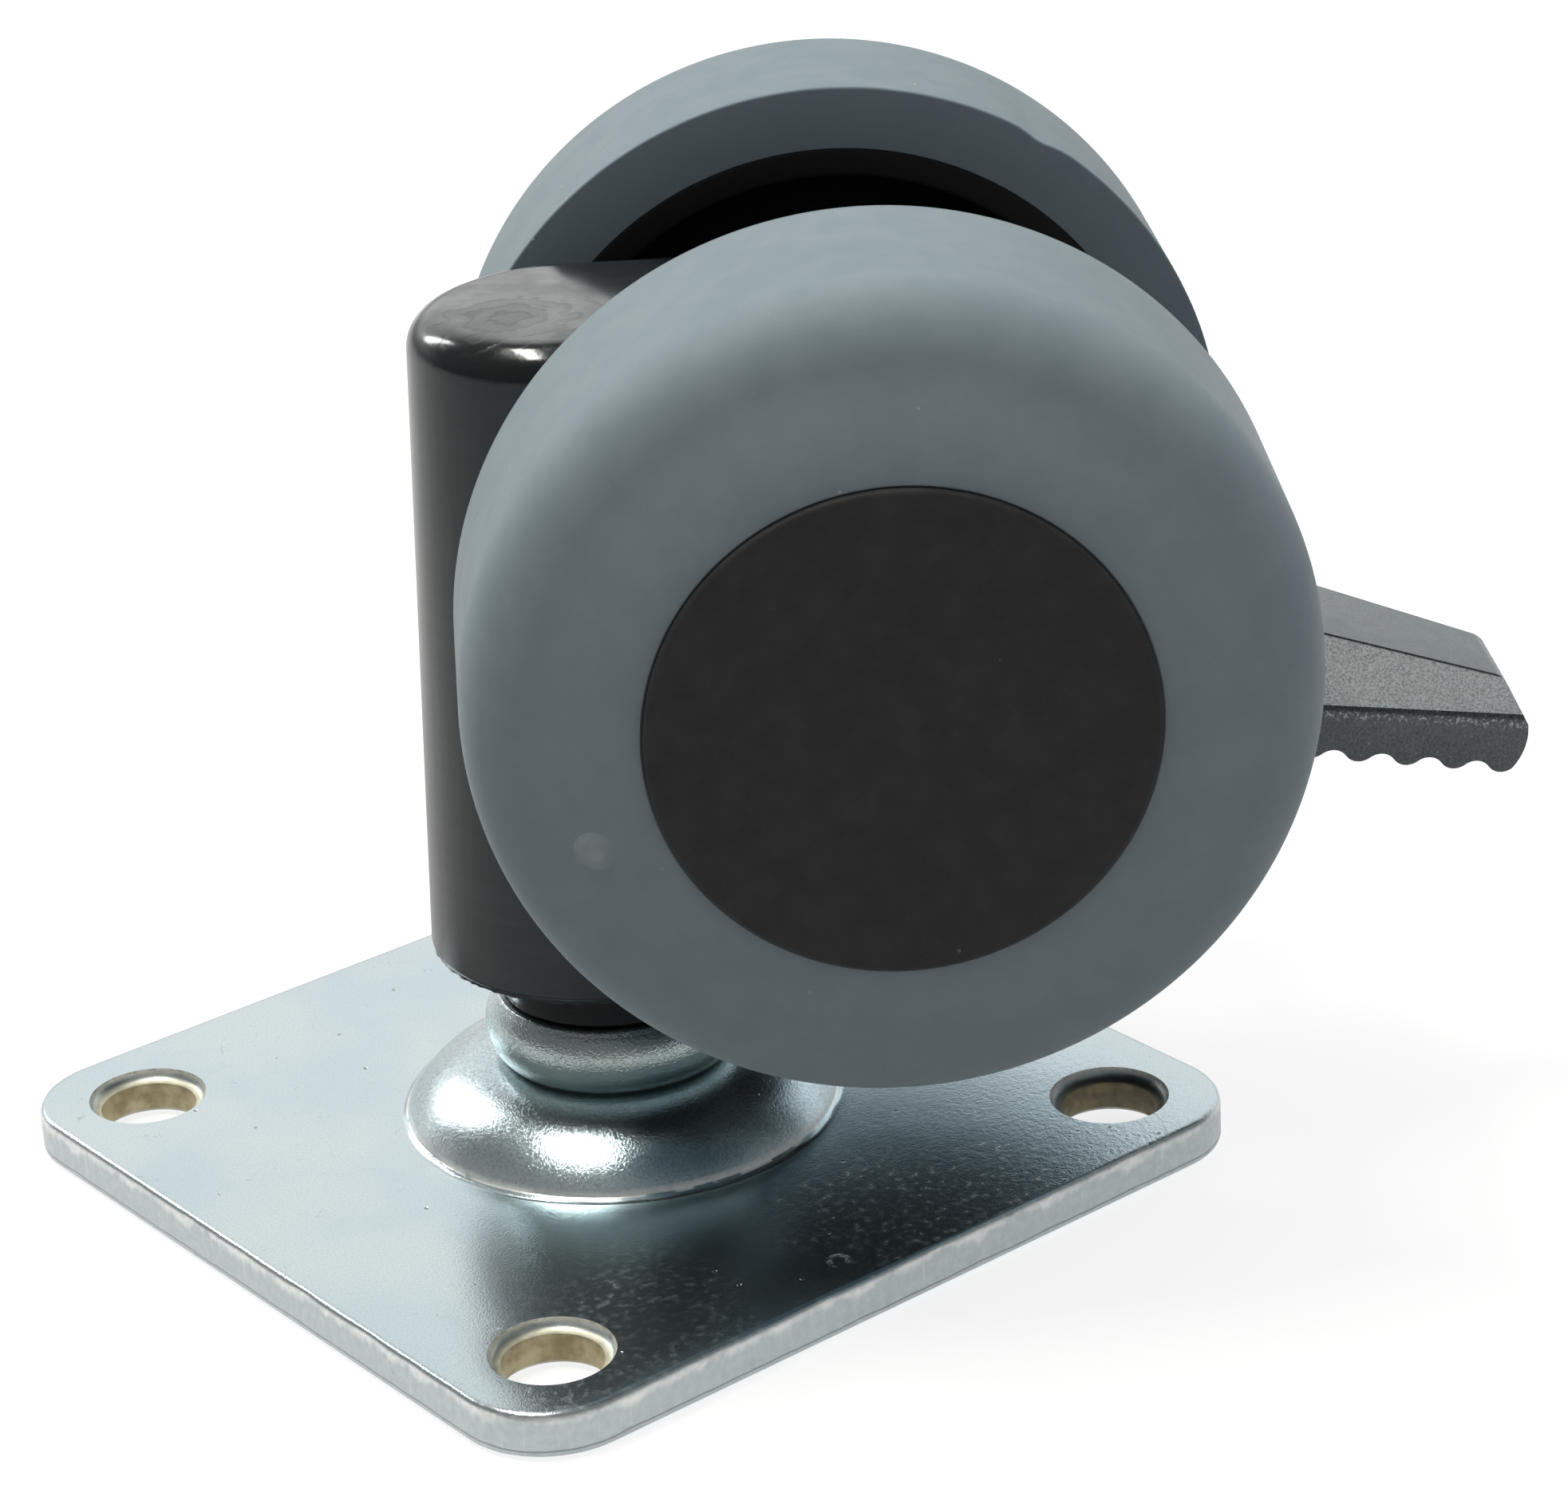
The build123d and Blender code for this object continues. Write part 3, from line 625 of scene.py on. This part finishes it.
def zinc_sheet(place):
    """Recipe of the plate: a soft bluish mirror with the marks of its sheet, and painted light: a painted
    reflection of the tyre, painted highlights on the dome and painted shade in one hole.
    """
    level = place.along(up)
    lying = abs(place.node("ShaderNodeNewGeometry", output="Normal").along(up)).step(0.30, 0.75)
    side = 1 - lying
    dome = level.step(3.05, 3.5)
    corner = 1 - place.far_from(plate_half, -plate_half, plate_top).step(5.0, 34.0)
    grain = place.grain(7.0, 2.0, 0.6)
    sparkle = place.grain(5.2, 3.0, 0.7)
    step_highlight_mask = painted_step_highlight(place, level)
    wrinkle = place.grain(2.4, 2.0, 0.55, 0.6)
    cloud = place.grain(0.09, 3.0, 0.5)
    blotch = place.grain(0.8, 5.0, 0.65)
    pits = place.spots(0.6, 0.10, 0.3)
    frost = (0 - place.along((0, 1, 0))).step(9.0, 22.0) * cloud.step(0.30, 0.55) * (1 - dome)
    flecks = (place.grain(1.7, 1.0, 0.5).step(0.46, 0.78) + place.spots(1.3, 0.5, 0.35) * 0.5) * frost
    thread = place.grain(0.20, 1.0, 0.5, 2.2)
    scratch = (1 - abs(thread - 0.5).step(0.0008, 0.005)) * blotch.step(0.54, 0.60) * (1 - dome)
    gouge_ring = 1 - abs(place.far_from(*gouge_at) - gouge_radius).step(0.10, 0.30)
    gouge = gouge_ring * blotch.step(0.46, 0.60)
    base = cloud.step(0.35, 0.65).mix((0.60, 0.70, 0.73, 1), (0.66, 0.74, 0.75, 1))
    # painted reflection: a bluer patch on the plate's front stands in for the grey-blue tyre mirrored there
    painted_tyre_reflection = 1 - place.far_from(*tyre_reflection_at).step(8.0, 30.0)
    base = (painted_tyre_reflection * 0.8).mix(base, (0.51, 0.70, 0.79, 1))
    base = (grain.step(0.42, 0.68) * 0.35).mix(base, (0.44, 0.53, 0.58, 1))
    base = (pits * 0.8 + scratch * 0.3).mix(base, (0.16, 0.18, 0.18, 1))
    base = (flecks * 0.35 + gouge * 0.6).mix(base, (0.80, 0.86, 0.90, 1))
    base = (dome * sparkle.step(0.50, 0.66) * 0.5).mix(base, (0.26, 0.31, 0.35, 1))
    # painted highlight: the dome is lightened with a pale warm tint between its grain
    base = (dome * (1 - sparkle.step(0.34, 0.46)) * 0.4).mix(base, (0.88, 0.90, 0.86, 1))
    # painted highlight: the dome's step is whitened along a broken line
    base = (step_highlight_mask * 0.9).mix(base, (0.93, 0.95, 0.93, 1))
    cut, torn = cut_side(place, level)
    base = side.mix(base, cut)
    tan, in_hole, painted_rim_shade = hole_stain(place, level)
    base = (in_hole * (0.7 + side * 0.3)).mix(base, tan)
    # painted shade on that hole's rim
    base = (painted_rim_shade * 0.92).mix(base, (0.02, 0.028, 0.034, 1))
    rough = 0.16 + grain * 0.08 + flecks * 0.08 + side * 0.12 + torn * side * 0.10 + in_hole * 0.34
    waves = wrinkle * (1 - dome) * (0.05 + corner * 0.45)
    height = grain * 0.22 + sparkle * dome * 0.40 + waves - pits * 0.8 + gouge * 0.4
    metal = 0.972 - corner * 0.035 - flecks * 0.05 - torn * side * 0.15 - side * 0.10 - step_highlight_mask * 0.40
    return {"Base Color": base, "Metallic": metal, "Roughness": rough, "Height": height, "Depth": 0.05}


finish("zinc_plate", zinc_sheet, top_plate)

# %% [markdown]
# ## Turned zinc
# The collar has the same plating, but a lathe cut its skin: faint rings run round it under a fine
# grain. Squeezed noise, long round the axis and short along it, gives such rings without a texture.
# Painted shade darkens the collar's foot, where it meets the dome, and the stem below it.

# %% Collar and pin
def zinc_turning(place):
    """Recipe of the turned stem."""
    level = place.along(up)
    rings = place.stretch(0.05, 0.05, 7.0).grain(1.0, 2.0, 0.6)
    grain = place.grain(5.4, 2.0, 0.7)
    cloud = place.grain(0.3, 3.0, 0.5)
    base = cloud.step(0.3, 0.7).mix((0.49, 0.58, 0.58, 1), (0.58, 0.66, 0.64, 1))
    base = (grain.step(0.35, 0.75) * 0.4).mix(base, (0.36, 0.40, 0.40, 1))
    # painted shade: the collar's foot and the rivet head under the dome are darkened
    painted_foot_shade = 1 - level.step(7.05, 7.35)
    base = (painted_foot_shade * 0.9).mix(base, (0.03, 0.035, 0.035, 1))
    return {
        "Base Color": base, "Metallic": 1.0, "Roughness": 0.16 + grain * 0.14,
        "Height": rings * 0.14 + grain * 0.95, "Depth": 0.05,
    }


finish("zinc_turned", zinc_turning, swivel_stem)

# %% [markdown]
# ## Rubber and core
# Four black or grey mouldings sit next to each other and must not look alike. The tread is soft rubber with
# a dry, even surface, so it is rough and has a little sheen at grazing angles; its inner side, between the
# wheels, is painted darker as painted shade. The hub discs are matt charcoal, and the cores are painted
# darker still inside the cups, as painted shade.

# %% Tread rubber and core
axle_middle = axle_at.dot(axle_out)


def tread_rubber(place):
    """Recipe of the grey tyres, with painted shade on their inner sides."""
    dust = place.grain(0.30, 4.0, 0.6)
    fine = place.grain(8.0, 3.0, 0.6)
    motes = place.spots(0.45, 0.07, 0.4)
    base = dust.step(0.3, 0.7).mix((0.178, 0.226, 0.252, 1), (0.198, 0.246, 0.272, 1))
    bare = 1 - (place.far_from(*gate_at) + dust * 0.8).step(0.4, 2.0)
    base = (bare * 0.45).mix(base, (0.40, 0.43, 0.43, 1))
    # painted shade: the tyres' inner sides, between the wheels, are darkened
    painted_inner_shade = 1 - abs(place.along(axle_out) - axle_middle).step(wheel_in + 0.1, wheel_in + 0.5)
    base = (painted_inner_shade * 0.5).mix(base, (0.10, 0.14, 0.175, 1))
    base = (motes * 0.6).mix(base, (0.62, 0.63, 0.62, 1))
    return {
        "Base Color": base, "Roughness": 0.60 + fine * 0.12, "Specular IOR Level": 0.3,
        "Sheen Weight": 0.08, "Sheen Roughness": 0.35, "Sheen Tint": (0.85, 0.93, 1.0, 1),
        "Height": fine, "Depth": 0.006,
    }


def core_plastic(place):
    """Recipe of the wheel cores, with painted shade inside the cups."""
    dust = place.grain(0.5, 4.0, 0.6)
    fine = place.grain(6.0, 3.0, 0.6)
    motes = place.spots(0.4, 0.06, 0.3)
    # painted shade: the cores are darkened everywhere but near the hub discs, inside the cups and on their
    # rims
    inside = 1 - abs(place.along(axle_out) - axle_middle).step(26.0, 30.0)
    base = dust.step(0.3, 0.8).mix((0.024, 0.0245, 0.0255, 1), (0.034, 0.0345, 0.0355, 1))
    base = inside.mix(base, (0.006, 0.006, 0.0065, 1))
    base = (motes * 0.4).mix(base, (0.3, 0.3, 0.28, 1))
    return {
        "Base Color": base, "Roughness": 0.58 + fine * 0.14, "Specular IOR Level": 0.2,
        "Height": fine, "Depth": 0.008,
    }


finish("tread_grey", tread_rubber, wheels["tread_near"], wheels["tread_far"], gate_scar)
finish("core_charcoal", core_plastic, wheels["core_near"], wheels["core_far"], hub_pip)

# %% [markdown]
# ## Post and bush
# The post comes from a polished mould. It mirrors the room softly, and its end shows the rings of
# plastic that set round the gate. A second gloss layer lies on that end alone, through Coat Weight,
# because the end is glossier than the post. The bush under it is a plain shiny black.

# %% Post and bush
flow_gate = (-4.2, -0.6, 58.6)


def post_plastic(place):
    """Recipe of the swivel post and the web."""
    flow = place.stretch(0.10, 0.10, 0.7).grain(1.0, 5.0, 0.6, 0.8)
    fine = place.grain(4.0, 4.0, 0.6)
    ripple = place.grain(0.28, 3.0, 0.55)
    top = place.along(up).step(57.4, 58.5)
    foot = 1 - place.along(up).step(22.0, 50.0)
    from_gate = place.far_from(*flow_gate)
    rings = from_gate.math("SINE", from_gate * 3.4 + ripple * 26.0)
    marks = rings.step(0.35, 0.95) * (1 - from_gate.step(3.5, 8.0)) * top
    base = flow.step(0.3, 0.75).mix((0.006, 0.0068, 0.0074, 1), (0.012, 0.0135, 0.0145, 1))
    rough = 0.16 + foot * 0.10 - top * 0.04 + fine * 0.08 + marks * 0.18
    return {
        "Base Color": base, "Roughness": rough,
        "Specular IOR Level": 0.38, "Specular Tint": (0.88, 0.97, 1.0, 1),
        "Coat Weight": top * (0.45 + ripple.step(0.35, 0.65) * 0.5), "Coat Roughness": 0.12,
        "Height": fine * 0.5 + flow * 0.6 - marks * 0.8, "Depth": 0.014,
    }


def bush_plastic(place):
    """Recipe of the bush."""
    fine = place.grain(1.2, 4.0, 0.6)
    base = fine.mix((0.008, 0.008, 0.009, 1), (0.020, 0.019, 0.018, 1))
    return {
        "Base Color": base, "Roughness": 0.14 + fine * 0.10, "Specular IOR Level": 0.4,
        "Height": fine, "Depth": 0.02,
    }


finish("housing_black", post_plastic, housing, foot_flash)
finish("bush_black", bush_plastic, bush)

# %% [markdown]
# ## Pedal
# The pedal's mould is spark-eroded, which leaves a fine grain: strong on the bevels and weaker on the crown.
# The bevels are also painted lighter, as painted light from above, and the flanks painted darker, as painted
# shade. Under each bevel the flank has a dark line and a fringe of pale specks, where the grain ends. The
# bevels' planes are measured on the mesh, so that the line follows the edge exactly.

# %% Pedal
def bevel_plane(flank):
    """Normal and offset, in millimetres, of the pedal's bevel on one flank."""
    sloped = [f for f in lever.data.polygons if f.normal.dot(flank) > 0.4 and 0.4 < f.normal.z < 0.85]
    widest = max(sloped, key=lambda f: f.area)
    return widest.normal.copy(), widest.normal.dot(widest.center) / MM


def pedal_plastic(place):
    """Recipe of the brake pedal, with painted light on its bevels and painted shade on its flanks."""
    grain = place.grain(6.5, 2.0, 0.65)
    dust = place.grain(0.8, 4.0, 0.6)
    slope = place.node("ShaderNodeNewGeometry", output="Normal").along(up)
    bevel = slope.step(0.35, 0.6) * (1 - slope.step(0.80, 0.90))
    flank = 1 - abs(slope).step(0.25, 0.5)
    near, near_offset = bevel_plane(axle_out)
    far, far_offset = bevel_plane(-axle_out)
    under = 0 - grain.math("MAXIMUM", place.along(near) - near_offset, place.along(far) - far_offset)
    edge_line = flank * (1 - under.step(0.14, 0.42))
    specks = place.spots(2.2, 0.22, 0.5) * flank
    fringe = place.grain(4.5, 1.0, 0.5).step(0.54, 0.64) * flank
    fringe = fringe * under.step(0.22, 0.34) * (1 - under.step(0.4, 0.9))
    base = dust.step(0.3, 0.7).mix((0.180, 0.204, 0.210, 1), (0.200, 0.226, 0.232, 1))
    base = (grain.step(0.40, 0.70) * 0.25).mix(base, (0.08, 0.09, 0.095, 1))
    # painted light: the bevels are made lighter, as if lit from the front above, along with their grain
    bevel_grain_and_painted_light = grain.step(0.36, 0.68).mix((0.350, 0.385, 0.395, 1), (0.185, 0.204, 0.210, 1))
    base = bevel.mix(base, bevel_grain_and_painted_light)
    # painted shade: the flanks are darkened, together with the dark line under each bevel
    shade = flank * (0.12 + grain.step(0.35, 0.7) * 0.3) + edge_line * 0.6
    base = shade.mix(base, (0.02, 0.022, 0.024, 1))
    base = (specks * 0.3 + fringe * 0.8).mix(base, (0.52, 0.54, 0.54, 1))
    return {
        "Base Color": base, "Roughness": 0.5 + grain * 0.12, "Specular IOR Level": 0.14,
        "Height": grain * (0.35 + bevel * 0.65), "Depth": 0.05,
    }


finish("lever_black", pedal_plastic, lever)

# %% [markdown]
# ## Hidden steel
# The axle, the pins, the rings and the leaf spring sit deep inside, and little of them is ever seen.
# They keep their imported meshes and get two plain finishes: bright drawn rod, and darker oiled spring.

# %% Hidden steel
def bright_rod(place):
    """Recipe of the axle and the lever's pin."""
    fine = place.grain(5.0, 3.0, 0.6)
    return {
        "Base Color": fine.mix(grey(0.52, 0.01), grey(0.62, 0.01)), "Metallic": 1.0,
        "Roughness": 0.22 + fine * 0.12, "Height": fine, "Depth": 0.005,
    }


def oiled_spring(place):
    """Recipe of the rings and the leaf spring."""
    fine = place.grain(5.0, 3.0, 0.6)
    return {
        "Base Color": fine.mix(grey(0.20, 0.0), grey(0.34, -0.03)), "Metallic": 1.0,
        "Roughness": 0.3 + fine * 0.15, "Height": fine, "Depth": 0.005,
    }


solids = frame["nodes"]
finish("bright_steel", bright_rod, solids["axle"], solids["lever_pin"])
sprung = ("stem_ring", "axle_ring_near", "axle_ring_far", "lever_spring")
finish("spring_steel", oiled_spring, *[solids[name] for name in sprung])

# %% [markdown]
# ## Table
# The castor stands on a plain white table. Lit enough to look white, a table would also throw too
# much light up at the castor. So the camera, and mirrors, see a brighter paper than the rest of the
# light does: Light Path tells the rays apart. The castor's shadow stays on it.

# %% Table
table_gap, table_size, mirror_share = 0.0002, 3.0, 0.8
dull_grey, lit_grey, paper_glow = (0.38, 0.38, 0.38, 1), (0.26, 0.26, 0.26, 1), 0.80


def ray_kinds(start):
    """Whether a ray comes from the camera, and whether a mirror or glass sent it on."""
    seen = start.node("ShaderNodeLightPath", output="Is Camera Ray")
    glossy = start.node("ShaderNodeLightPath", output="Is Glossy Ray")
    through = start.node("ShaderNodeLightPath", output="Is Transmission Ray")
    return seen, glossy.math("MAXIMUM", glossy, through)


floor = bmesh.new()
bmesh.ops.create_grid(floor, x_segments=1, y_segments=1, size=table_size)
floor_mesh = bpy.data.meshes.new("floor")
floor.to_mesh(floor_mesh)
floor.free()
table = bpy.data.objects.new("floor", floor_mesh)
table.location.z = -table_gap
bpy.context.scene.collection.objects.link(table)
paper = bpy.data.materials.new("white_paper")
paper.use_nodes = True
paper.node_tree.nodes.clear()
sheet = Socket(paper.node_tree)
seen, mirrored = ray_kinds(sheet)
dull = sheet.node("ShaderNodeBsdfPrincipled", {}, {"Base Color": dull_grey, "Roughness": 0.9})
lit = sheet.node("ShaderNodeBsdfPrincipled", {}, {
    "Base Color": lit_grey, "Roughness": 0.9,
    "Emission Color": (1, 1, 1, 1), "Emission Strength": paper_glow,
})
bright = seen.math("MAXIMUM", seen, mirrored * mirror_share)
mixed = sheet.node("ShaderNodeMixShader", {}, {0: bright, 1: dull, 2: lit})
sheet.node("ShaderNodeOutputMaterial", {}, {"Surface": mixed})
floor_mesh.materials.append(paper)
print("table uses", len(paper.node_tree.nodes), "nodes")

# %% [markdown]
# ## World and lamps
# A photographer lights bright metal with large pale surfaces, and the metal shows them. Here the
# world is that room: white to the camera, pale behind the castor in mirrors and dark in front of it.
# A strip lamp overhead and a tall one at the back left give the streaks on the dome and the post.

# %% World
world = bpy.data.worlds.new("studio")
bpy.context.scene.world = world
world.use_nodes = True
world.node_tree.nodes.clear()
rays = Socket(world.node_tree)
seen, mirrored = ray_kinds(rays)
looking = rays.node("ShaderNodeTexCoord", output="Generated")
front = (-0.616, -0.787, 0.0)
heading, rise = looking.along(front), looking.along(up)
room = 1 - (heading + rise * 0.5).step(-0.50, -0.10) * 0.80
backdrop = room * (0.45 + rise.step(0.06, 0.22) * 0.55)
fill = 0.82 - heading.step(-0.4, 0.8) * 0.58 + looking.along(trail_out).step(0.3, 0.9) * 0.46
strength = seen + (1 - seen) * (mirrored * backdrop + (1 - mirrored) * fill)
back = rays.node("ShaderNodeBackground", {}, {"Color": (1, 1, 1, 1), "Strength": strength})
rays.node("ShaderNodeOutputWorld", {}, {"Surface": back})
print("world uses", len(world.node_tree.nodes), "nodes")


# %% Lamps
def lamp(name, size, power, place, aim=(0.0, 0.0, 0.02), colour=(1, 1, 1)):
    """A soft rectangular lamp that faces the castor."""
    light = bpy.data.lights.new(name, "AREA")
    light.shape, light.size, light.size_y = "RECTANGLE", *size
    light.energy = power
    light.color = colour
    made = bpy.data.objects.new(name, light)
    made.location = place
    made.rotation_euler = (Vector(aim) - Vector(place)).to_track_quat("-Z", "Y").to_euler()
    bpy.context.scene.collection.objects.link(made)
    print(name, "at", place, "with", power, "W")
    return made


lamp("overhead", (0.42, 0.065), 3.6, (-0.13, 0.11, 0.70), colour=(1.0, 0.96, 0.88))
lamp("back", (0.09, 0.24), 1.1, (-0.09, 0.58, 0.38), colour=(1.0, 0.99, 0.97))

# %% [markdown]
# ## Camera
# The camera stands where the photograph was taken from: a little above the castor, turned towards
# one edge of the plate, and rolled by three degrees.

# %% Place the camera
camera_at = Vector((-0.15274, -0.21484, 0.14199))
camera_aim = Vector((0.006144, -0.011855, 0.030))
camera_roll = math.radians(-3.33)
lens = bpy.data.cameras.new("camera")
lens.lens, lens.sensor_width, lens.clip_start = 101.76, 36.0, 0.01
camera = bpy.data.objects.new("camera", lens)
forward = (camera_aim - camera_at).normalized()
level_right = forward.cross(up).normalized()
level_up = level_right.cross(forward)
right = level_right * math.cos(camera_roll) + level_up * math.sin(camera_roll)
view_up = right.cross(forward)
camera.matrix_world = Matrix((right, view_up, -forward)).transposed().to_4x4()
camera.matrix_world.translation = camera_at
bpy.context.scene.collection.objects.link(camera)
bpy.context.scene.camera = camera
bpy.context.scene.view_settings.view_transform = "Standard"
print("camera at", tuple(round(c, 3) for c in camera_at), "with a lens of", round(lens.lens, 1), "mm")
